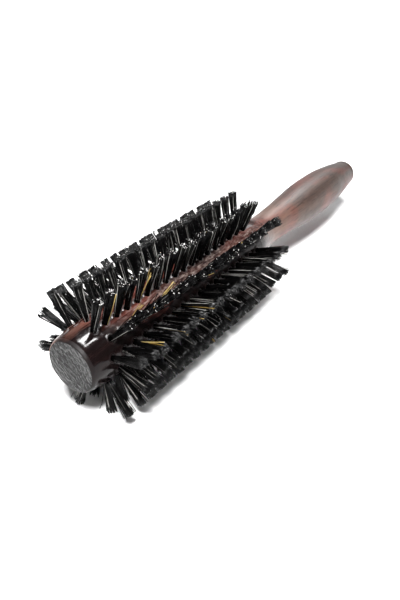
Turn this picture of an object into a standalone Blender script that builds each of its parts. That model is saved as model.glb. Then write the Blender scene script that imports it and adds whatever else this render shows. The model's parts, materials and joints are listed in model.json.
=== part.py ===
"""Round barrel brush: one turned wooden body, twelve rows of bristle tufts and their anchor wires.

Metres, +Z up.  The brush axis is the X axis: the flat end of the barrel is at x = 0 and the
handle runs towards +X.  The brush lies on the tufts of two neighbouring rows, as on a table.
"""

import math

import bmesh
import bpy
from mathutils import Matrix, Vector

MM = 0.001

# wooden body: (distance from the barrel end, radius), both in millimetres
BARREL_PROFILE = (
    (0.0, 9.8),
    (0.3, 10.2),
    (1.2, 10.8),
    (3.0, 11.25),
    (6.0, 11.6),
    (8.6, 11.8),
)
SHOULDER_PROFILE = (
    (116.6, 11.8),
    (119.5, 11.5),
    (123.0, 10.8),
    (127.0, 9.9),
    (131.0, 9.0),
    (135.0, 8.45),
    (140.0, 8.3),
)
HANDLE_PROFILE = (
    (147.0, 8.6),
    (155.0, 9.05),
    (163.0, 9.65),
    (171.0, 10.35),
    (179.0, 11.0),
    (187.0, 11.35),
    (195.0, 11.45),
    (203.0, 11.38),
    (210.0, 11.15),
    (217.0, 10.6),
    (224.0, 9.9),
    (230.0, 9.15),
    (235.0, 8.45),
    (239.0, 7.95),
    (240.6, 7.9),
    (241.8, 7.65),
    (242.6, 7.1),
    (243.0, 6.3),
)
BODY_SIDES = 36
BARREL_RADIUS = 11.8

# rows of tufts
ROW_COUNT = 12
TUFTS_PER_ROW = 18
TUFT_PITCH = 5.92
FIRST_TUFT = 9.7
ROW_STAGGER = TUFT_PITCH / 2.0
FIRST_ROW_ANGLE = 45.0
TUFT_TIP_RADIUS = 26.8
TUFT_SIDES = 8
TUFT_ROOT_HALF_WIDTH = 1.05
TUFT_TIP_HALF_LENGTH = 2.15
TUFT_TIP_HALF_WIDTH = 2.05

# tuft holes and the lengthwise channel at their foot; heights are distances from the brush axis
HOLE_SIDES = 8
HOLE_RADIUS = 1.70
HOLE_FOOT = 9.3
CHANNEL_BOTTOM = 7.0
CHANNEL_TOP = 9.6
CHANNEL_WIDTH = 3.2
CHANNEL_OVERHANG = 1.9

# folded roots of the tufts, wrapped round the anchor wire
FOLD_BOTTOM = 7.3
FOLD_TOP = 9.3
FOLD_WIDTH = 2.4
FOLD_WALL = 0.4
FOLD_OVERHANG = 1.3
WIRE_CENTRE = 8.3
WIRE_RADIUS = 0.30
WIRE_SIDES = 8
WIRE_OVERHANG = 1.6


def clear_scene():
    for item in list(bpy.data.objects):
        bpy.data.objects.remove(item, do_unlink=True)


def make_material(name, colour, roughness, metallic, coat):
    material = bpy.data.materials.new(name)
    material.use_nodes = True
    shader = material.node_tree.nodes["Principled BSDF"]
    shader.inputs["Base Color"].default_value = (colour[0], colour[1], colour[2], 1.0)
    shader.inputs["Roughness"].default_value = roughness
    shader.inputs["Metallic"].default_value = metallic
    shader.inputs["Coat Weight"].default_value = coat
    material.diffuse_color = (colour[0], colour[1], colour[2], 1.0)
    return material


def new_object(name, mesh_builder, material):
    mesh = bpy.data.meshes.new(name)
    mesh_builder.normal_update()
    mesh_builder.to_mesh(mesh)
    mesh_builder.free()
    item = bpy.data.objects.new(name, mesh)
    bpy.context.scene.collection.objects.link(item)
    mesh.materials.append(material)
    return item


def smooth_round_faces(item, angle_degrees):
    item.data.shade_smooth()
    item.data.set_sharp_from_angle(angle=math.radians(angle_degrees))


def add_prism(builder, lower, upper):
    """Close two matching rings of points into a solid; both rings run the same way round."""
    low = [builder.verts.new(point) for point in lower]
    high = [builder.verts.new(point) for point in upper]
    count = len(low)
    for index in range(count):
        following = (index + 1) % count
        builder.faces.new((low[index], low[following], high[following], high[index]))
    builder.faces.new(list(reversed(low)))
    builder.faces.new(high)


def ring_points(centre_x, height, half_length, half_width, sides):
    """A ring about the row direction (+Z of the row), seen from outside running anticlockwise."""
    points = []
    for index in range(sides):
        angle = 2.0 * math.pi * (index + 0.5) / sides
        x = centre_x + half_length * math.cos(angle)
        y = half_width * math.sin(angle)
        points.append(Vector((x * MM, y * MM, height * MM)))
    return points


def box_points(x0, x1, width, height):
    half = width / 2.0
    corners = ((x0, -half), (x1, -half), (x1, half), (x0, half))
    return [Vector((x * MM, y * MM, height * MM)) for x, y in corners]


def tuft_positions(first):
    return [first + TUFT_PITCH * index for index in range(TUFTS_PER_ROW)]


def row_is_staggered(row):
    return row % 2 == 1


def row_start(row):
    if row_is_staggered(row):
        return FIRST_TUFT + ROW_STAGGER
    return FIRST_TUFT


def row_matrix(row):
    """Turn the row's own +Z (outward) to the row's angle, measured from +Y towards +Z."""
    angle = FIRST_ROW_ANGLE + 360.0 / ROW_COUNT * row
    return Matrix.Rotation(math.radians(angle - 90.0), 4, "X")


def apply_boolean(item, tool, operation):
    modifier = item.modifiers.new("cut", "BOOLEAN")
    modifier.operation = operation
    modifier.solver = "EXACT"
    modifier.object = tool
    graph = bpy.context.evaluated_depsgraph_get()
    result = bpy.data.meshes.new_from_object(item.evaluated_get(graph))
    item.modifiers.clear()
    item.data = result
    bpy.data.objects.remove(tool, do_unlink=True)


def solid_tool(name, material, fill):
    builder = bmesh.new()
    fill(builder)
    bmesh.ops.recalc_face_normals(builder, faces=builder.faces)
    tool = new_object(name, builder, material)
    tool.hide_render = True
    tool.display_type = "WIRE"
    return tool


def fill_rail(builder, first, width, low, high, overhang):
    x0 = first - overhang
    x1 = first + TUFT_PITCH * (TUFTS_PER_ROW - 1) + overhang
    add_prism(builder, box_points(x0, x1, width, low), box_points(x0, x1, width, high))


def fill_tufts(builder, first):
    for x in tuft_positions(first):
        root = ring_points(
            x, FOLD_TOP - FOLD_WALL / 2.0, TUFT_ROOT_HALF_WIDTH, TUFT_ROOT_HALF_WIDTH, TUFT_SIDES
        )
        tip = ring_points(
            x, TUFT_TIP_RADIUS, TUFT_TIP_HALF_LENGTH, TUFT_TIP_HALF_WIDTH, TUFT_SIDES
        )
        add_prism(builder, root, tip)


def fill_holes(builder, first):
    for x in tuft_positions(first):
        foot = ring_points(x, HOLE_FOOT, HOLE_RADIUS, HOLE_RADIUS, HOLE_SIDES)
        mouth = ring_points(x, BARREL_RADIUS + 2.0, HOLE_RADIUS, HOLE_RADIUS, HOLE_SIDES)
        add_prism(builder, foot, mouth)


def build_row_mesh(first, material):
    """Eighteen tufts held together by their folded roots, which wrap round the anchor wire."""
    row = solid_tool("row_source", material, lambda builder: fill_tufts(builder, first))
    fold = solid_tool(
        "row_fold",
        material,
        lambda builder: fill_rail(builder, first, FOLD_WIDTH, FOLD_BOTTOM, FOLD_TOP, FOLD_OVERHANG),
    )
    apply_boolean(row, fold, "UNION")
    passage = solid_tool(
        "row_passage",
        material,
        lambda builder: fill_rail(
            builder,
            first,
            FOLD_WIDTH - 2.0 * FOLD_WALL,
            FOLD_BOTTOM + FOLD_WALL,
            FOLD_TOP - FOLD_WALL,
            FOLD_OVERHANG + 1.0,
        ),
    )
    apply_boolean(row, passage, "DIFFERENCE")
    mesh = row.data
    bpy.data.objects.remove(row, do_unlink=True)
    return mesh


def build_row_cutter(row, material):
    first = row_start(row)
    cutter = solid_tool("row_holes", material, lambda builder: fill_holes(builder, first))
    channel = solid_tool(
        "row_channel",
        material,
        lambda builder: fill_rail(
            builder, first, CHANNEL_WIDTH, CHANNEL_BOTTOM, CHANNEL_TOP, CHANNEL_OVERHANG
        ),
    )
    apply_boolean(cutter, channel, "UNION")
    cutter.data.transform(row_matrix(row))
    return cutter


def build_body(material):
    """Turned barrel, neck and handle in one piece, with a hole for every tuft."""
    builder = bmesh.new()
    profile = BARREL_PROFILE + SHOULDER_PROFILE + HANDLE_PROFILE
    rings = []
    for x, radius in profile:
        ring = []
        for index in range(BODY_SIDES):
            angle = math.radians(5.0 + 360.0 / BODY_SIDES * index)
            point = Vector((x, radius * math.cos(angle), radius * math.sin(angle))) * MM
            ring.append(builder.verts.new(point))
        rings.append(ring)
    for lower, upper in zip(rings[:-1], rings[1:]):
        for index in range(BODY_SIDES):
            following = (index + 1) % BODY_SIDES
            builder.faces.new((lower[index], lower[following], upper[following], upper[index]))
    builder.faces.new(list(reversed(rings[0])))
    builder.faces.new(rings[-1])
    bmesh.ops.recalc_face_normals(builder, faces=builder.faces)
    body = new_object("wooden_body", builder, material)
    for row in range(ROW_COUNT):
        cutter = build_row_cutter(row, material)
        apply_boolean(body, cutter, "DIFFERENCE")
    smooth_round_faces(body, 30.0)
    return body


def build_rows(material):
    meshes = {
        False: build_row_mesh(FIRST_TUFT, material),
        True: build_row_mesh(FIRST_TUFT + ROW_STAGGER, material),
    }
    for row in range(ROW_COUNT):
        name = "bristle_row_{:02d}".format(row + 1)
        mesh = meshes[row_is_staggered(row)].copy()
        mesh.name = name
        mesh.transform(row_matrix(row))
        mesh.materials.clear()
        mesh.materials.append(material)
        item = bpy.data.objects.new(name, mesh)
        bpy.context.scene.collection.objects.link(item)
        smooth_round_faces(item, 50.0)


def build_wires(material):
    for row in range(ROW_COUNT):
        first = row_start(row)
        last = first + TUFT_PITCH * (TUFTS_PER_ROW - 1)
        builder = bmesh.new()
        ends = []
        for x in (first - WIRE_OVERHANG, last + WIRE_OVERHANG):
            ring = []
            for index in range(WIRE_SIDES):
                angle = 2.0 * math.pi * (index + 0.5) / WIRE_SIDES
                y = WIRE_RADIUS * math.cos(angle)
                z = WIRE_CENTRE + WIRE_RADIUS * math.sin(angle)
                ring.append(Vector((x * MM, y * MM, z * MM)))
            ends.append(ring)
        add_prism(builder, ends[0], ends[1])
        bmesh.ops.recalc_face_normals(builder, faces=builder.faces)
        wire = new_object("anchor_wire_{:02d}".format(row + 1), builder, material)
        wire.data.transform(row_matrix(row))
        smooth_round_faces(wire, 50.0)


def main():
    clear_scene()
    wood = make_material("lacquered_wood", (0.16, 0.075, 0.055), 0.25, 0.0, 0.6)
    bristle = make_material("bristle", (0.012, 0.012, 0.013), 0.35, 0.0, 0.0)
    steel = make_material("anchor_steel", (0.62, 0.62, 0.63), 0.3, 1.0, 0.0)
    build_body(wood)
    build_rows(bristle)
    build_wires(steel)


main()
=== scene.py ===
"""Round barrel brush: detailed wood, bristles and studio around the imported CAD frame."""

import json
import math

import bmesh
import bpy
import numpy as np
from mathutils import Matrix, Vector

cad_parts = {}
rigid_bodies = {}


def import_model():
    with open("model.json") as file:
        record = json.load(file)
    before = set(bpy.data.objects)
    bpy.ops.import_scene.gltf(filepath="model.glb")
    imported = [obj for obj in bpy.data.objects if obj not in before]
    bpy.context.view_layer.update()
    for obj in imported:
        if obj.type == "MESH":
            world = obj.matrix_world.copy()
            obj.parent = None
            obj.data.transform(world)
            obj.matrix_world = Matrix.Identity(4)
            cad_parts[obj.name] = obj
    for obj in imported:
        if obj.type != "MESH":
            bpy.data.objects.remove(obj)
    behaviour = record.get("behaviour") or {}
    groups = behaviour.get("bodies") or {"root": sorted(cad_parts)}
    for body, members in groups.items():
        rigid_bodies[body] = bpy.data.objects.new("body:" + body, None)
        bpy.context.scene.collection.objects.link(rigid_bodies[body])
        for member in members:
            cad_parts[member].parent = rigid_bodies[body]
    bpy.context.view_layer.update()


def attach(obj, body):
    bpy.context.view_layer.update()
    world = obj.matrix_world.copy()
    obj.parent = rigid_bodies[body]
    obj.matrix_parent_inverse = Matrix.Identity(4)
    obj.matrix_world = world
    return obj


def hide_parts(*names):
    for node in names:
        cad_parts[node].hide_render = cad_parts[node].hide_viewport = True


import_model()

MM = 0.001
SEED = 20417
ROW_SEED_STEP = 101

# brush geometry, in millimetres, the same as in the CAD
ROW_COUNT = 12
TUFTS_PER_ROW = 18
TUFT_PITCH = 5.92
FIRST_TUFT = 9.7
ROW_STAGGER = TUFT_PITCH / 2.0
FIRST_ROW_ANGLE = 45.0
BODY_LENGTH = 243.0
BARREL_RADIUS = 11.8
TIP_RADIUS = 26.8
FLOOR_Z = -26.38
PROFILE = (
    (0.0, 10.1), (0.12, 10.3), (0.5, 10.55), (1.5, 10.95), (3.0, 11.27), (6.0, 11.6),
    (9.0, BARREL_RADIUS), (14.0, BARREL_RADIUS), (60.0, BARREL_RADIUS), (112.0, BARREL_RADIUS),
    (116.6, 11.75), (119.5, 11.5), (123.0, 10.8), (127.0, 9.9),
    (131.0, 9.0), (135.0, 8.45), (140.0, 8.3), (147.0, 8.6), (155.0, 9.05), (163.0, 9.65),
    (171.0, 10.35), (179.0, 11.0), (187.0, 11.35), (195.0, 11.45), (203.0, 11.38),
    (210.0, 11.15), (217.0, 10.6), (224.0, 9.9), (230.0, 9.15), (235.0, 8.45), (239.0, 7.95),
    (240.6, 7.9), (241.8, 7.65), (242.6, 7.1), (BODY_LENGTH, 6.3),
)


def row_start(row):
    return FIRST_TUFT + (ROW_STAGGER if row % 2 else 0.0)


def row_angle(row):
    return math.radians(FIRST_ROW_ANGLE + 360.0 / ROW_COUNT * row)


def place_in_scene(name, data):
    item = bpy.data.objects.new(name, data)
    bpy.context.scene.collection.objects.link(item)
    return item


# ---------------------------------------------------------------- material helper

UNSCALED = (1.0, 1.0, 1.0)
BLACK = (0.0, 0.0, 0.0)


class Nodes:
    """Short helper to build a node material."""

    def __init__(self, name):
        self.material = bpy.data.materials.new(name)
        self.material.use_nodes = True
        self.tree = self.material.node_tree
        self.shader = self.tree.nodes["Principled BSDF"]

    def add(self, kind, **settings):
        node = self.tree.nodes.new(kind)
        for key, value in settings.items():
            setattr(node, key, value)
        return node

    def link(self, source, target):
        self.tree.links.new(source, target)

    def drive(self, source, socket_name):
        self.link(source, self.shader.inputs[socket_name])

    def coordinates(self, scale=UNSCALED, rotation=(0.0, 0.0, 0.0), location=(0.0, 0.0, 0.0)):
        where = self.add("ShaderNodeTexCoord")
        return self.mapped(where.outputs["Object"], scale, rotation, location)

    def mapped(self, vector, scale=UNSCALED, rotation=(0.0, 0.0, 0.0), location=(0.0, 0.0, 0.0)):
        mapping = self.add("ShaderNodeMapping")
        mapping.inputs["Scale"].default_value = scale
        mapping.inputs["Rotation"].default_value = rotation
        mapping.inputs["Location"].default_value = location
        self.link(vector, mapping.inputs["Vector"])
        return mapping.outputs["Vector"]

    def split(self, vector):
        node = self.add("ShaderNodeSeparateXYZ")
        self.link(vector, node.inputs[0])
        return node.outputs

    def noise(self, vector, scale, detail=3.0, roughness=0.55, distortion=0.0):
        node = self.add("ShaderNodeTexNoise")
        node.inputs["Scale"].default_value = scale
        node.inputs["Detail"].default_value = detail
        node.inputs["Roughness"].default_value = roughness
        node.inputs["Distortion"].default_value = distortion
        self.link(vector, node.inputs["Vector"])
        return node.outputs["Fac"]

    def ramp(self, value, stops):
        node = self.add("ShaderNodeValToRGB")
        ramp = node.color_ramp
        while len(ramp.elements) < len(stops):
            ramp.elements.new(0.5)
        for element, (position, colour) in zip(ramp.elements, stops):
            element.position = position
            if isinstance(colour, float):
                colour = (colour, colour, colour)
            element.color = (colour[0], colour[1], colour[2], 1.0)
        self.link(value, node.inputs["Fac"])
        return node.outputs["Color"]

    def length_ramp(self, length, start, end, stops):
        """A ramp over a length in metres, whose start, end and stops are in millimetres."""
        span = end - start
        past_start = self.maths("SUBTRACT", length, start * MM)
        share = self.maths("DIVIDE", past_start, span * MM)
        return self.ramp(share, tuple(((at - start) / span, value) for at, value in stops))

    def mix(self, factor, first, second, mode="MIX"):
        node = self.add("ShaderNodeMix", data_type="RGBA", blend_type=mode)
        if isinstance(factor, float):
            node.inputs[0].default_value = factor
        else:
            self.link(factor, node.inputs[0])
        for socket, value in ((node.inputs[6], first), (node.inputs[7], second)):
            if isinstance(value, tuple):
                socket.default_value = (value[0], value[1], value[2], 1.0)
            else:
                self.link(value, socket)
        return node.outputs[2]

    def maths(self, operation, first, second):
        node = self.add("ShaderNodeMath", operation=operation)
        for socket, value in ((node.inputs[0], first), (node.inputs[1], second)):
            if isinstance(value, float):
                socket.default_value = value
            else:
                self.link(value, socket)
        return node.outputs[0]

    def map_range(self, value, from_low, from_high, to_low, to_high):
        node = self.add("ShaderNodeMapRange")
        node.inputs["From Min"].default_value = from_low
        node.inputs["From Max"].default_value = from_high
        node.inputs["To Min"].default_value = to_low
        node.inputs["To Max"].default_value = to_high
        self.link(value, node.inputs["Value"])
        return node.outputs["Result"]

    def bump(self, height, strength, distance):
        node = self.add("ShaderNodeBump")
        node.inputs["Strength"].default_value = strength
        node.inputs["Distance"].default_value = distance
        self.link(height, node.inputs["Height"])
        return node.outputs["Normal"]


# ---------------------------------------------------------------- wood materials

BODY_SPAN = 250.0


def body_ramp(n, place, stops):
    """A ramp along the whole body, with its stops in millimetres from the barrel's end."""
    return n.length_ramp(place["X"], 0.0, BODY_SPAN, stops)


def band_tone(n, bands, low, high):
    """A colour that follows the light and dark bands of the grain."""
    return n.ramp(bands, ((0.3, low), (0.7, high)))


def wear_and_lit_side_mask(n, place, handle):
    """Where the wood shows red: worn patches, and painted light on one side and high on the barrel,
    where the light falls; low on the barrel the dark stain is kept, as painted shade.
    """
    patches = n.noise(n.coordinates((0.45, 1.0, 1.0), location=(0.013, 0.0, 0.0)), 52.0, 2.0, 0.5, 0.6)
    # painted light: the +Y side is pushed toward red, strongly on the barrel and weakly on the handle
    edge = n.map_range(place["X"], 10.0 * MM, 30.0 * MM, 1.5 * MM, -3.4 * MM)
    toward_lit_side = n.maths("SUBTRACT", place["Y"], edge)
    side = n.maths("MULTIPLY", toward_lit_side, n.map_range(handle, 0.0, 1.0, 30.0, 6.0))
    ruddy = body_ramp(n, place, ((140.0, 0.0), (175.0, 0.0), (192.5, 0.12), (212.5, 0.0)))
    # painted shade: the low part of the barrel keeps its dark stain
    low_on_barrel = n.length_ramp(place["Z"], -10.0, 10.0, ((-0.6, 0.24), (5.6, 0.0)))
    painted_shade_low = n.mix(handle, low_on_barrel, BLACK)
    wear_plus_lit_side = n.maths("ADD", n.maths("ADD", patches, side), ruddy)
    return n.ramp(n.maths("SUBTRACT", wear_plus_lit_side, painted_shade_low), ((0.44, 0.0), (0.66, 1.0)))


def stain_and_painted_light_colour(n, place, handle):
    """Dark stain on the barrel, a pale neck, a browner handle that darkens towards the butt, and
    reddish wood where it is worn and, as painted light, on the barrel's lit side, brighter at its end
    as a painted highlight.
    """
    bands = n.noise(n.coordinates((0.06, 1.0, 1.0)), 420.0, 4.0, 0.6, 0.4)
    dark = band_tone(n, bands, (0.0025, 0.0017, 0.0019), (0.0085, 0.0045, 0.0044))
    tan = band_tone(n, bands, (0.038, 0.0205, 0.0155), (0.076, 0.043, 0.032))
    pale = band_tone(n, bands, (0.11, 0.060, 0.044), (0.20, 0.115, 0.085))
    red = band_tone(n, bands, (0.060, 0.016, 0.012), (0.160, 0.046, 0.033))
    bright = band_tone(n, bands, (0.21, 0.085, 0.062), (0.50, 0.24, 0.18))
    neck = body_ramp(n, place, ((115.0, 0.0), (135.0, 0.75), (150.0, 0.40), (170.0, 0.0)))
    # darker towards the butt
    shade = body_ramp(n, place, ((155.0, 0.0), (225.0, 0.55)))
    # painted highlight: near the barrel's end the red on the lit side is brighter
    nose = n.length_ramp(place["X"], 0.0, 20.0, ((4.0, 1.0), (14.0, 0.0)))
    darker_tan = n.mix(shade, tan, (0.020, 0.0135, 0.0105))
    stain = n.mix(neck, n.mix(handle, dark, darker_tan), pale)
    return n.mix(wear_and_lit_side_mask(n, place, handle), stain, n.mix(nose, red, bright))


def dust_and_painted_light(n, place, handle, colour):
    """Dust and painted light in a strip along the barrel between two rows of tufts: pale specks, more
    of them farther back, where the tufts shade the strip.
    """
    specks = n.noise(n.coordinates((0.5, 1.0, 1.0)), 620.0, 3.0, 0.65)
    pale_specks_and_light = n.ramp(specks, (
        (0.40, (0.022, 0.011, 0.010)), (0.52, (0.090, 0.060, 0.052)), (0.66, (0.30, 0.235, 0.21)),
    ))
    # painted light: the pale specks grow farther back along the strip, where the tufts shade it
    painted_light_farther_back = n.length_ramp(place["X"], 0.0, 100.0, ((12.0, 0.0), (35.0, 0.62)))
    strip = n.length_ramp(place["Y"], -10.0, 0.0, ((-8.5, 0.0), (-6.7, 1.0), (-5.3, 1.0), (-3.6, 0.1)))
    dust_and_light_film = n.mix(1.0, strip, painted_light_farther_back, "MULTIPLY")
    return n.mix(n.mix(handle, dust_and_light_film, BLACK), colour, pale_specks_and_light)


def grained(n, colour):
    """Fine fibres and dark pores, drawn out along the grain."""
    fibres = n.noise(n.coordinates((0.03, 1.0, 1.0)), 2600.0, 3.0, 0.6)
    pores = n.noise(n.coordinates((0.05, 1.0, 1.0), location=(0.5, 0.2, 0.0)), 1500.0, 1.0, 0.5)
    fibrous = n.mix(0.55, colour, n.ramp(fibres, ((0.35, 0.45), (0.62, 1.0))), "MULTIPLY")
    return n.mix(n.ramp(pores, ((0.60, 0.0), (0.68, 0.7))), fibrous, (0.004, 0.002, 0.002))


def lacquer_roughness(n, place, handle, haze):
    """Smeared gloss on the barrel, satin on the handle, and a matt rim round the barrel's end."""
    smear = n.noise(n.coordinates((0.6, 1.0, 1.0)), 160.0, 3.0)
    gloss = n.ramp(smear, ((0.3, 0.09 + haze), (0.7, 0.17 + haze)))
    satin = n.ramp(smear, ((0.3, 0.38), (0.7, 0.48)))
    rim = n.length_ramp(place["X"], 0.0, 2.5, ((0.75, 1.0), (1.75, 0.0)))
    return n.mix(rim, n.mix(handle, gloss, satin), (0.5, 0.5, 0.5))


def lacquer_relief(n):
    ripple = n.noise(n.coordinates((0.7, 1.0, 1.0)), 210.0, 2.0, 0.5)
    grain = n.noise(n.coordinates((0.05, 1.0, 1.0)), 1200.0, 2.0)
    height = n.maths("ADD", ripple, n.maths("MULTIPLY", grain, 0.12))
    return n.bump(height, 0.35, 0.6 * MM)


def wood_material(name, specular, haze=0.0):
    """Turned wood, stained dark mahogany, under lacquer that is glossier on the barrel."""
    n = Nodes(name)
    place = n.split(n.coordinates())
    handle = body_ramp(n, place, ((115.0, 0.0), (140.0, 1.0)))
    colour = dust_and_painted_light(n, place, handle, stain_and_painted_light_colour(n, place, handle))
    n.drive(grained(n, colour), "Base Color")
    n.drive(lacquer_roughness(n, place, handle, haze), "Roughness")
    n.drive(lacquer_relief(n), "Normal")
    n.shader.inputs["IOR"].default_value = 1.5
    n.shader.inputs["Specular IOR Level"].default_value = specular
    return n.material


def end_grain_material():
    """Bare end grain: grey, with dark pores in lines along the growth rings."""
    n = Nodes("end_grain")
    along_rings = n.coordinates(rotation=(math.radians(-47.0), 0.0, 0.0))
    across = n.maths("ABSOLUTE", n.split(along_rings)["Z"], 0.0)
    centre_band = n.length_ramp(across, 0.0, 10.0, ((4.5, 1.0), (9.2, 0.25)))
    stretched = n.mapped(along_rings, (1.0, 0.34, 1.0))
    mottle = n.noise(stretched, 950.0, 4.0, 0.75, 0.4)
    base = n.ramp(mottle, ((0.43, (0.006, 0.0059, 0.0058)), (0.58, (0.105, 0.1045, 0.104))))
    holes = n.ramp(n.noise(stretched, 1050.0, 2.0, 0.6, 0.3), ((0.49, 0.0), (0.52, 1.0)))
    pores = n.mix(1.0, holes, centre_band, "MULTIPLY")
    n.drive(n.mix(pores, base, (0.002, 0.002, 0.002)), "Base Color")
    n.drive(n.ramp(mottle, ((0.3, 0.62), (0.7, 0.78))), "Roughness")
    n.drive(n.bump(n.maths("SUBTRACT", mottle, pores), 0.5, 0.2 * MM), "Normal")
    n.shader.inputs["IOR"].default_value = 1.4
    return n.material


# ---------------------------------------------------------------- other materials

def bristle_material(name, stops, roughness, ior, specular):
    """Hair-like strand: its tone comes from a number stored on each strand, with fine flecks."""
    n = Nodes(name)
    tone = n.add("ShaderNodeAttribute", attribute_name="tone")
    flecks = n.noise(n.coordinates(), 2400.0, 2.0)
    shift = n.maths("MULTIPLY", n.maths("SUBTRACT", flecks, 0.5), 0.12)
    n.drive(n.ramp(n.maths("ADD", tone.outputs["Fac"], shift), stops), "Base Color")
    n.drive(n.ramp(flecks, ((0.3, roughness - 0.05), (0.7, roughness + 0.05))), "Roughness")
    n.shader.inputs["IOR"].default_value = ior
    n.shader.inputs["Specular IOR Level"].default_value = specular
    return n.material


def strand_materials():
    """Dark strands with a few light grey ones as painted glints, pale strands, and cut tips whose
    near-white ones are painted highlights, in the order of the bristle meshes' slots.
    """
    # the top stops make a few strands light grey: paler strands, and painted glints
    dark = (
        (0.0, (0.0008, 0.0008, 0.0009)), (0.84, (0.0018, 0.0017, 0.0017)),
        (0.92, (0.05, 0.049, 0.046)), (1.0, (0.30, 0.295, 0.28)),
    )
    blond = ((0.0, (0.20, 0.13, 0.030)), (1.0, (0.42, 0.31, 0.11)))
    # near-white cut tips are painted highlights on the strands' ends
    cut = (
        (0.0, (0.0015, 0.0015, 0.0015)), (0.64, (0.004, 0.004, 0.004)),
        (0.72, (0.70, 0.70, 0.69)), (1.0, (0.97, 0.96, 0.95)),
    )
    return (
        bristle_material("dark_bristle_painted_glints", dark, roughness=0.20, ior=1.42, specular=0.145),
        bristle_material("blond_bristle", blond, roughness=0.35, ior=1.45, specular=0.20),
        bristle_material("cut_tip", cut, roughness=0.5, ior=1.4, specular=0.06),
    )


def steel_material():
    n = Nodes("drawn_wire")
    streaks = n.noise(n.coordinates((0.02, 1.0, 1.0)), 3000.0, 2.0)
    n.drive(n.ramp(streaks, ((0.3, 0.42), (0.7, 0.62))), "Base Color")
    n.drive(n.ramp(streaks, ((0.3, 0.25), (0.7, 0.4))), "Roughness")
    n.shader.inputs["Metallic"].default_value = 1.0
    return n.material


def floor_material():
    """Near-white floor that glows away from the brush, so that it runs into a white background."""
    n = Nodes("studio_floor")
    mottle = n.noise(n.coordinates(), 3.0, 2.0)
    n.drive(n.ramp(mottle, ((0.3, 0.90), (0.7, 0.92))), "Base Color")
    reach = n.add("ShaderNodeVectorMath", operation="LENGTH")
    n.link(n.coordinates(), reach.inputs[0])
    glow = n.length_ramp(reach.outputs["Value"], 0.0, 2000.0, ((400.0, 0.0), (1400.0, 1.0)))
    n.drive(glow, "Emission Strength")
    n.shader.inputs["Emission Color"].default_value = (1.0, 1.0, 1.0, 1.0)
    n.shader.inputs["Roughness"].default_value = 0.7
    n.shader.inputs["IOR"].default_value = 1.3
    return n.material


# ---------------------------------------------------------------- wooden body

BARREL_SLOT, END_GRAIN_SLOT, HANDLE_SLOT, COLLAR_SLOT = range(4)

CELL_DIVISIONS = 8
RING_SEGMENTS = ROW_COUNT * CELL_DIVISIONS
HALF_ROW_ANGLE = math.radians(180.0 / ROW_COUNT)
PATCH_COLUMNS = 4

# from inside a tuft's hole to the open barrel: distance from the tuft's axis, height on the barrel
COLLAR = (
    (1.12, -1.10), (1.14, -0.50), (1.20, -0.10), (1.30, 0.10), (1.45, 0.19),
    (1.62, 0.20), (1.82, 0.13), (2.05, 0.05), (2.30, 0.012),
)
# the rings with the hazier collar material, counted from inside the hole
HAZY_RINGS = 8
# each collar's height is a share of the one above, by chance
LOWEST_LIFT = 0.45
LIFT_RANGE = 0.5

# where the turned surface has its rings, in millimetres from the barrel's end
NOSE_STATIONS = (0.0, 0.05, 0.12, 0.25, 0.5, 0.8, 1.2, 1.7, 2.3, 3.0, 3.8, 4.7, 5.7)
BUTT_STATIONS = (
    238.8, 239.5, 240.1, 240.6, 241.0, 241.4, 241.8, 242.1, 242.35, 242.6, 242.8, 242.92, BODY_LENGTH,
)
SHANK_END = 238.0
SHANK_STEPS = 80
WELD_DISTANCE = 0.002 * MM
SHARP_ANGLE = math.radians(38.0)


def smooth_profile():
    """Radius as a smooth curve through the profile points (limited Hermite tangents)."""
    xs = np.array([p[0] for p in PROFILE])
    rs = np.array([p[1] for p in PROFILE])
    steps = np.diff(xs)
    slopes = np.diff(rs) / steps
    tangents = np.zeros(len(xs))
    for i in range(1, len(xs) - 1):
        if slopes[i - 1] * slopes[i] > 0.0:
            w0 = 2.0 * steps[i] + steps[i - 1]
            w1 = steps[i] + 2.0 * steps[i - 1]
            tangents[i] = (w0 + w1) / (w0 / slopes[i - 1] + w1 / slopes[i])
    tangents[0] = slopes[0]
    tangents[-1] = slopes[-1]

    def radius(x):
        i = int(min(max(np.searchsorted(xs, x) - 1, 0), len(xs) - 2))
        h = steps[i]
        t = (x - xs[i]) / h
        a = (1 + 2 * t) * (1 - t) ** 2
        b = t * (1 - t) ** 2
        c = t * t * (3 - 2 * t)
        d = t * t * (t - 1)
        return a * rs[i] + b * h * tangents[i] + c * rs[i + 1] + d * h * tangents[i + 1]

    return radius


def on_barrel(radius, x, angle, height):
    r = radius(x) + height
    return (x * MM, r * math.cos(angle) * MM, r * math.sin(angle) * MM)


def join_rings(builder, rings):
    faces = []
    for lower, upper in zip(rings[:-1], rings[1:]):
        count = len(lower)
        for j in range(count):
            k = (j + 1) % count
            faces.append(builder.faces.new((lower[j], upper[j], upper[k], lower[k])))
    return faces


def cell_border():
    """Points round the edge of one tuft's piece of barrel surface, unrolled flat."""
    half_x = TUFT_PITCH / 2.0
    half_b = BARREL_RADIUS * HALF_ROW_ANGLE
    border = []
    for j in range(4 * CELL_DIVISIONS):
        side, step = divmod(j, CELL_DIVISIONS)
        u = -1.0 + 2.0 * step / CELL_DIVISIONS
        a, b = ((1.0, u), (-u, 1.0), (-1.0, -u), (u, -1.0))[side]
        border.append((a * half_x, b * half_b))
    return border


def cell_rings(lift):
    """The rings from a tuft's hole, over its lacquer collar, out to the border of its cell."""
    border = cell_border()
    rings = []
    for reach, height in COLLAR:
        ring = []
        for a, b in border:
            scale = reach / math.hypot(a, b)
            ring.append((a * scale, b * scale, height * lift if height > 0.0 else height))
        rings.append(ring)
    rings.append([((p[0] + q[0]) / 2, (p[1] + q[1]) / 2, 0.0) for p, q in zip(rings[-1], border)])
    rings.append([(a, b, 0.0) for a, b in border])
    return rings


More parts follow.
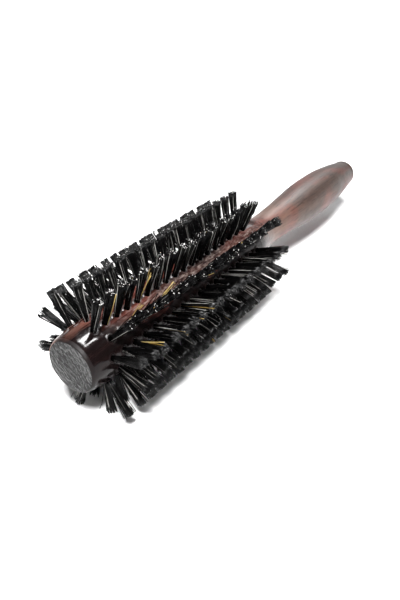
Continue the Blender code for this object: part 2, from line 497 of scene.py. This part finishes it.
def add_cell(builder, radius, x_centre, angle_centre, lift):
    """One tuft's piece of barrel surface, with its hole and the lacquer collar round it."""
    verts = []
    for ring in cell_rings(lift):
        verts.append([
            builder.verts.new(on_barrel(radius, x_centre + a, angle_centre + b / BARREL_RADIUS, h))
            for a, b, h in ring
        ])
    builder.faces.new(verts[0])
    for face in join_rings(builder, verts[:HAZY_RINGS]):
        face.material_index = COLLAR_SLOT
    join_rings(builder, verts[HAZY_RINGS - 1:])


def add_patch(builder, radius, x0, x1, angle_centre):
    """Plain barrel surface that fills the half pitch left by the stagger."""
    grid = []
    for i in range(PATCH_COLUMNS + 1):
        x = x0 + (x1 - x0) * i / PATCH_COLUMNS
        line = []
        for j in range(CELL_DIVISIONS + 1):
            angle = angle_centre - HALF_ROW_ANGLE + 2.0 * HALF_ROW_ANGLE * j / CELL_DIVISIONS
            line.append(builder.verts.new(on_barrel(radius, x, angle, 0.0)))
        grid.append(line)
    for i in range(PATCH_COLUMNS):
        for j in range(CELL_DIVISIONS):
            builder.faces.new((grid[i][j], grid[i][j + 1], grid[i + 1][j + 1], grid[i + 1][j]))


def lathe_rings(builder, radius, stations):
    rings = []
    for x in stations:
        rings.append([
            builder.verts.new(on_barrel(radius, x, 2.0 * math.pi * j / RING_SEGMENTS, 0.0))
            for j in range(RING_SEGMENTS)
        ])
    join_rings(builder, rings)
    return rings


def add_disc(builder, rim, x, levels, slot):
    """Flat end face: rings in towards a centre point."""
    rings = [rim]
    for level in levels:
        rings.append([builder.verts.new((x * MM, v.co.y * level, v.co.z * level)) for v in rim])
    centre = builder.verts.new((x * MM, 0.0, 0.0))
    for outer, inner in zip(rings[:-1], rings[1:]):
        for j in range(RING_SEGMENTS):
            k = (j + 1) % RING_SEGMENTS
            builder.faces.new((outer[j], outer[k], inner[k], inner[j])).material_index = slot
    for j in range(RING_SEGMENTS):
        k = (j + 1) % RING_SEGMENTS
        builder.faces.new((rings[-1][j], rings[-1][k], centre)).material_index = slot


def add_barrel(builder, radius, zone_start, zone_end):
    """The drilled length of the barrel, from one cell for each tuft."""
    rng = np.random.default_rng(SEED)
    for row in range(ROW_COUNT):
        first, angle = row_start(row), row_angle(row)
        for k in range(TUFTS_PER_ROW):
            lift = LOWEST_LIFT + LIFT_RANGE * rng.random()
            add_cell(builder, radius, first + TUFT_PITCH * k, angle, lift)
        if row % 2:
            add_patch(builder, radius, zone_start, first - TUFT_PITCH / 2.0, angle)
        else:
            add_patch(builder, radius, zone_end - ROW_STAGGER, zone_end, angle)


def build_wood():
    radius = smooth_profile()
    builder = bmesh.new()
    zone_start = FIRST_TUFT - TUFT_PITCH / 2.0
    zone_end = FIRST_TUFT + TUFT_PITCH * TUFTS_PER_ROW
    add_barrel(builder, radius, zone_start, zone_end)
    shank = tuple(
        zone_end + (SHANK_END - zone_end) * i / SHANK_STEPS for i in range(SHANK_STEPS + 1)
    )
    front = lathe_rings(builder, radius, NOSE_STATIONS + (zone_start,))
    back = lathe_rings(builder, radius, shank + BUTT_STATIONS)
    for face in {face for ring in back for vert in ring for face in vert.link_faces}:
        face.material_index = HANDLE_SLOT
    add_disc(builder, front[0], 0.0, (0.9, 0.65, 0.35), END_GRAIN_SLOT)
    add_disc(builder, back[-1], BODY_LENGTH, (0.6,), HANDLE_SLOT)
    bmesh.ops.remove_doubles(builder, verts=builder.verts, dist=WELD_DISTANCE)
    bmesh.ops.recalc_face_normals(builder, faces=builder.faces)
    mesh = bpy.data.meshes.new("turned_wood")
    builder.to_mesh(mesh)
    builder.free()
    mesh.shade_smooth()
    mesh.set_sharp_from_angle(angle=SHARP_ANGLE)
    wood = place_in_scene("turned_wood", mesh)
    mesh.materials.append(wood_material("lacquered_mahogany", specular=0.15))
    mesh.materials.append(end_grain_material())
    mesh.materials.append(wood_material("handle_mahogany", specular=0.30))
    mesh.materials.append(wood_material("lacquer_collar", specular=0.15, haze=0.22))
    return wood


# ---------------------------------------------------------------- bristles

DARK_SLOT, BLOND_SLOT, TIP_SLOT = range(3)

STRANDS = 62
STRAND_SIDES = 5
STRAND_RADIUS = 0.15
RADIUS_VARIATION = 0.10
# along a strand from its root: how far up, and its thickness there
STRAND_LEVELS = np.array([0.0, 0.25, 0.52, 0.8, 1.0])
STRAND_TAPER = np.array([1.0, 1.0, 0.97, 0.93, 1.08])
ROOT_HEIGHT = 10.9
ROOT_SPREAD = 0.98
TIP_SPREAD = 1.93
SPREAD_VARIATION = 0.10
LATE_LEAN = 0.063

# whole tufts lean by chance, and more at a row's ends: its first tuft, and its last four
LEAN_ALONG = 0.33
LEAN_ACROSS = 0.42
LAST_LEANS = np.array([0.3, 0.7, 1.3, 2.4])
FIRST_LEAN = {0: 1.4, 6: -0.9, 7: -0.8}
USUAL_FIRST_LEAN = -0.3

# a few strands stray from their tuft
STRAY_SHARE = 0.05
STRAY_SCATTER, USUAL_SCATTER = 1.25, 0.24
STRAY_BOW, USUAL_BOW = 0.45, 0.13
TRIM_VARIATION = 0.42
TRIM_ALLOWANCE = 0.1

# tufts with a few pale strands bent over: tuft, then how far along, across and down in millimetres
WISP_STRANDS = 3
WISP_SHARES = np.linspace(0.75, 1.15, WISP_STRANDS)
WISPS = {
    2: ((4, 3.0, 0.5, 2.0),),
    3: ((1, 9.5, -3.6, 8.0), (4, 8.0, -3.2, 7.0)),
    4: ((2, 2.5, -1.0, 1.0),),
}

# the odd pale strand is commoner in three neighbouring rows, and most in their first half
BLOND_ROWS = (2, 3, 4)
BLOND_SHARE_FRONT, BLOND_SHARE_BACK, BLOND_SHARE_ELSEWHERE = 0.004, 0.0015, 0.0008

# how pale the cut tips of a row may be: pale tips are painted highlights, fewest on rows 3 to 8, which
# face the -Y side and the floor
TIP_HIGHLIGHT_BY_ROW = {0: 0.80, 1: 0.81, 2: 0.93, 3: 0.73, **dict.fromkeys(range(4, 9), 0.69)}
USUAL_TIP_HIGHLIGHT = 0.90


def wisp_slice(tuft):
    return slice(tuft * STRANDS, tuft * STRANDS + WISP_STRANDS)


def strand_paths(rng, row):
    """Centre lines of a row's strands in the row's own frame: x along, w across, h outward."""
    count = TUFTS_PER_ROW * STRANDS
    tuft = np.repeat(np.arange(TUFTS_PER_ROW), STRANDS)
    x0 = row_start(row) + TUFT_PITCH * tuft
    turn = rng.random(count) * 2.0 * math.pi
    reach = np.sqrt(rng.random(count))
    ux, uw = np.cos(turn) * reach, np.sin(turn) * reach
    lean_x = rng.normal(0.0, LEAN_ALONG, TUFTS_PER_ROW)
    lean_w = rng.normal(0.0, LEAN_ACROSS, TUFTS_PER_ROW)
    lean_x[-len(LAST_LEANS):] += LAST_LEANS
    lean_x[0] += FIRST_LEAN.get(row, USUAL_FIRST_LEAN)
    spread = TIP_SPREAD * (1.0 + rng.normal(0.0, SPREAD_VARIATION, TUFTS_PER_ROW))
    stray = rng.random(count) < STRAY_SHARE
    scatter = np.where(stray, STRAY_SCATTER, USUAL_SCATTER)
    tip_x = x0 + lean_x[tuft] + ux * spread[tuft] + rng.normal(0.0, 1.0, count) * scatter
    tip_w = lean_w[tuft] + uw * spread[tuft] + rng.normal(0.0, 1.0, count) * scatter
    trimmed = np.abs(rng.normal(0.0, TRIM_VARIATION, count))
    tip_h = TIP_RADIUS + TRIM_ALLOWANCE - trimmed - np.where(stray, rng.random(count), 0.0)
    for bent, along, across, drop in WISPS.get(row, ()):
        few = wisp_slice(bent)
        tip_x[few] += along * WISP_SHARES
        tip_w[few] += across * WISP_SHARES
        tip_h[few] -= drop * WISP_SHARES
    root = np.stack([x0 + ux * ROOT_SPREAD, uw * ROOT_SPREAD, np.full(count, ROOT_HEIGHT)], 1)
    tip = np.stack([tip_x, tip_w, tip_h], 1)
    bow = rng.normal(0.0, 1.0, (count, 2)) * np.where(stray, STRAY_BOW, USUAL_BOW)[:, None]
    return curved_paths(root, tip, bow)


def curved_paths(root, tip, bow):
    """Each strand from root to tip: it leans out more toward its tip, and bows to one side."""
    up = STRAND_LEVELS[None, :, None]
    path = root[:, None, :] * (1.0 - up) + tip[:, None, :] * up
    outward = (tip - root)[:, :2]
    ease = LATE_LEAN * np.sin(STRAND_LEVELS * math.pi)[None, :, None]
    path[:, :, :2] -= ease * outward[:, None, :]
    path[:, :, :2] += bow[:, None, :] * (4.0 * up * (1.0 - up))
    return path


def strand_points(rng, path):
    """Points round each strand at each level of its path."""
    count = len(path)
    thickness = STRAND_RADIUS * (1.0 + rng.normal(0.0, RADIUS_VARIATION, count))
    phase = rng.random(count) * 2.0 * math.pi
    around = 2.0 * math.pi * np.arange(STRAND_SIDES) / STRAND_SIDES
    angle = phase[:, None] + around[None, :]
    ring = np.stack([np.cos(angle), np.sin(angle)], 2)
    size = thickness[:, None] * STRAND_TAPER[None, :]
    points = np.repeat(path[:, :, None, :], STRAND_SIDES, axis=2)
    points[..., :2] += size[:, :, None, None] * ring[:, None, :, :]
    return points


def turned_to_row(points, row):
    """From the row's own frame to the brush's, in metres, with no strand below the floor."""
    a = row_angle(row)
    across, outward = points[..., 1], points[..., 2]
    y = outward * math.cos(a) - across * math.sin(a)
    z = outward * math.sin(a) + across * math.cos(a)
    return np.stack([points[..., 0], y, np.maximum(z, FLOOR_Z)], -1).reshape(-1, 3) * MM


def strand_faces(count):
    """Sides of every strand, then all root faces, then all tip faces."""
    levels = len(STRAND_LEVELS)
    start = np.arange(count)[:, None] * (levels * STRAND_SIDES)
    side = np.arange(STRAND_SIDES)
    after = (side + 1) % STRAND_SIDES
    low = start[:, :, None] + np.arange(levels - 1)[None, :, None] * STRAND_SIDES
    high = low + STRAND_SIDES
    sides = np.stack([low + side, low + after, high + after, high + side], -1).reshape(-1, 4)
    roots = start + side[::-1]
    tips = start + (levels - 1) * STRAND_SIDES + side
    return sides, roots, tips


def blond_share(row, tuft):
    if row not in BLOND_ROWS:
        return BLOND_SHARE_ELSEWHERE
    return np.where(tuft < TUFTS_PER_ROW // 2, BLOND_SHARE_FRONT, BLOND_SHARE_BACK)


def paint_strands(mesh, rng, row, count):
    """Material slots for strands and tips, and the tone that each strand's material reads."""
    levels = len(STRAND_LEVELS)
    side_faces = (levels - 1) * STRAND_SIDES
    blond = rng.random(count) < blond_share(row, np.arange(count) // STRANDS)
    for wisp in WISPS.get(row, ()):
        blond[wisp_slice(wisp[0])] = True
    strand_slot = np.where(blond, BLOND_SLOT, DARK_SLOT)
    slots = np.concatenate([np.repeat(strand_slot, side_faces), strand_slot, np.full(count, TIP_SLOT)])
    mesh.polygons.foreach_set("material_index", slots.astype(np.int32))
    tone = np.repeat(rng.random(count), levels * STRAND_SIDES).reshape(count, levels, STRAND_SIDES)
    # painted highlights: the cut tips' tone is scaled by row
    tone[:, -1] *= TIP_HIGHLIGHT_BY_ROW.get(row, USUAL_TIP_HIGHLIGHT)
    tone = tone.ravel()
    colours = np.stack([tone, tone, tone, np.ones_like(tone)], 1)
    layer = mesh.color_attributes.new("tone", "FLOAT_COLOR", "POINT")
    layer.data.foreach_set("color", colours.astype(np.float32).ravel())
    smooth = np.concatenate([np.ones(count * side_faces, bool), np.zeros(2 * count, bool)])
    mesh.polygons.foreach_set("use_smooth", smooth)


def build_row(row, materials):
    rng = np.random.default_rng(SEED + ROW_SEED_STEP * (row + 1))
    path = strand_paths(rng, row)
    verts = turned_to_row(strand_points(rng, path), row)
    sides, roots, tips = strand_faces(len(path))
    name = "bristles_{:02d}".format(row + 1)
    mesh = bpy.data.meshes.new(name)
    mesh.from_pydata(verts.tolist(), [], sides.tolist() + roots.tolist() + tips.tolist())
    paint_strands(mesh, rng, row, len(path))
    for material in materials:
        mesh.materials.append(material)
    mesh.update()
    return place_in_scene(name, mesh)


# ---------------------------------------------------------------- studio

# in millimetres and degrees
CAMERA_PLACE = (-107.90, -124.67, 128.79)
CAMERA_TURN = (57.806, -1.083, -55.841)
CAMERA_LENS = 35.1
FLOOR_GAP = 0.02

# from here on in metres
FLOOR_HALF_WIDTH = 12.0
BRUSH_MIDDLE = (0.08, 0.0, 0.0)

SKY_STRENGTH = 0.09
HORIZON_STRENGTH = 0.95
HORIZON_BAND = (0.02, 0.22)

KEY_PLACE = (-0.26, -0.22, 0.60)
KEY_RADIUS = 0.085
KEY_IRRADIANCE = 8.5

BACK_FILL_DIRECTION = (0.60, 0.22, 0.77)
BACK_FILL_STRENGTH = 0.62
BACK_FILL_ANGLE = 42.0
BACK_FILL_DISTANCE = 2.0

FRONT_FILL_WATTS = 0.7
FRONT_FILL_SIZE = (0.25, 0.15)
FRONT_FILL_DIRECTION = (-0.23, -0.38, 0.14)
FRONT_FILL_DISTANCE = 0.45
BARREL_FRONT = (0.03, -0.02, -0.02)

# reflected panels: azimuth and elevation in degrees, distance, width, height, radiance
PANELS = (
    ("back_softbox", 22.0, 40.0, 1.3, 1.3, 1.0, 0.85),
    ("strip", 8.0, 44.0, 1.3, 0.20, 0.75, 5.0),
    ("hot_spot", -4.0, 70.0, 1.2, 0.70, 0.40, 88.0),
    ("side_panel", -28.0, 4.0, 1.4, 1.3, 0.22, 1.3),
)


def make_camera():
    data = bpy.data.cameras.new("camera")
    data.sensor_width = 36.0
    data.lens = CAMERA_LENS
    data.clip_start = 0.01
    data.clip_end = 60.0
    camera = place_in_scene("camera", data)
    camera.location = [value * MM for value in CAMERA_PLACE]
    camera.rotation_euler = [math.radians(value) for value in CAMERA_TURN]
    bpy.context.scene.camera = camera


def make_floor():
    half = FLOOR_HALF_WIDTH
    z = (FLOOR_Z - FLOOR_GAP) * MM
    mesh = bpy.data.meshes.new("floor")
    corners = [(-half, -half, z), (half, -half, z), (half, half, z), (-half, half, z)]
    mesh.from_pydata(corners, [], [(0, 1, 2, 3)])
    mesh.materials.append(floor_material())
    place_in_scene("floor", mesh)


def make_world():
    """White surroundings, bright near the horizon and dim above it."""
    world = bpy.data.worlds.new("studio")
    bpy.context.scene.world = world
    world.use_nodes = True
    nodes, links = world.node_tree.nodes, world.node_tree.links
    background = nodes["Background"]
    where = nodes.new("ShaderNodeTexCoord")
    split = nodes.new("ShaderNodeSeparateXYZ")
    band = nodes.new("ShaderNodeMapRange")
    band.interpolation_type = "SMOOTHSTEP"
    band.inputs["From Min"].default_value = HORIZON_BAND[0]
    band.inputs["From Max"].default_value = HORIZON_BAND[1]
    band.inputs["To Min"].default_value = HORIZON_STRENGTH
    band.inputs["To Max"].default_value = SKY_STRENGTH
    links.new(where.outputs["Generated"], split.inputs[0])
    links.new(split.outputs["Z"], band.inputs["Value"])
    links.new(band.outputs["Result"], background.inputs["Strength"])
    background.inputs["Color"].default_value = (1.0, 1.0, 1.0, 1.0)


def aim(item, direction, distance, target):
    d = Vector(direction).normalized()
    item.location = Vector(target) + d * distance
    item.rotation_mode = "QUATERNION"
    item.rotation_quaternion = (-d).to_track_quat("-Z", "Y")


def make_key():
    """A lamp that is as bright at any distance, so the whole brush is lit alike."""
    key = bpy.data.lights.new("key", "POINT")
    key.shadow_soft_size = KEY_RADIUS
    key.energy = 1.0
    key.use_nodes = True
    nodes = key.node_tree.nodes
    falloff = nodes.new("ShaderNodeLightFalloff")
    falloff.inputs["Strength"].default_value = KEY_IRRADIANCE * 4.0 * math.pi
    key.node_tree.links.new(falloff.outputs["Constant"], nodes["Emission"].inputs["Strength"])
    place_in_scene("key", key).location = KEY_PLACE


def make_back_fill():
    sun = bpy.data.lights.new("back_fill", "SUN")
    sun.energy = BACK_FILL_STRENGTH
    sun.angle = math.radians(BACK_FILL_ANGLE)
    aim(place_in_scene("back_fill", sun), BACK_FILL_DIRECTION, BACK_FILL_DISTANCE, BRUSH_MIDDLE)


def area_lamp(name, width, height, watts):
    data = bpy.data.lights.new(name, "AREA")
    data.shape = "RECTANGLE"
    data.size = width
    data.size_y = height
    data.energy = watts
    return place_in_scene(name, data)


def make_front_fill():
    lamp = area_lamp("front_fill", *FRONT_FILL_SIZE, FRONT_FILL_WATTS)
    lamp.visible_glossy = False
    aim(lamp, FRONT_FILL_DIRECTION, FRONT_FILL_DISTANCE, BARREL_FRONT)


def make_panels():
    """Panels that only show as reflections in the lacquer and on the bristles."""
    for name, azimuth, elevation, distance, width, height, radiance in PANELS:
        lamp = area_lamp(name, width, height, radiance * math.pi * width * height)
        lamp.visible_diffuse = False
        a, e = math.radians(azimuth), math.radians(elevation)
        direction = (math.cos(a) * math.cos(e), math.sin(a) * math.cos(e), math.sin(e))
        aim(lamp, direction, distance, BRUSH_MIDDLE)


# ---------------------------------------------------------------- scene

def add_wood():
    wood = build_wood()
    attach(wood, "root")
    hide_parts("wooden_body")


def add_bristles():
    materials = strand_materials()
    for row in range(ROW_COUNT):
        piece = build_row(row, materials)
        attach(piece, "root")
        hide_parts("bristle_row_{:02d}".format(row + 1))


def coat_wires():
    """The anchor wires stay as the CAD has them, in steel."""
    wire = steel_material()
    for row in range(ROW_COUNT):
        node = bpy.data.objects["anchor_wire_{:02d}".format(row + 1)]
        for holder in node.material_slots:
            holder.material = wire


def main():
    make_camera()
    make_floor()
    make_world()
    make_key()
    make_back_fill()
    make_front_fill()
    make_panels()
    add_wood()
    add_bristles()
    coat_wires()
    bpy.context.scene.view_settings.view_transform = "Standard"


main()
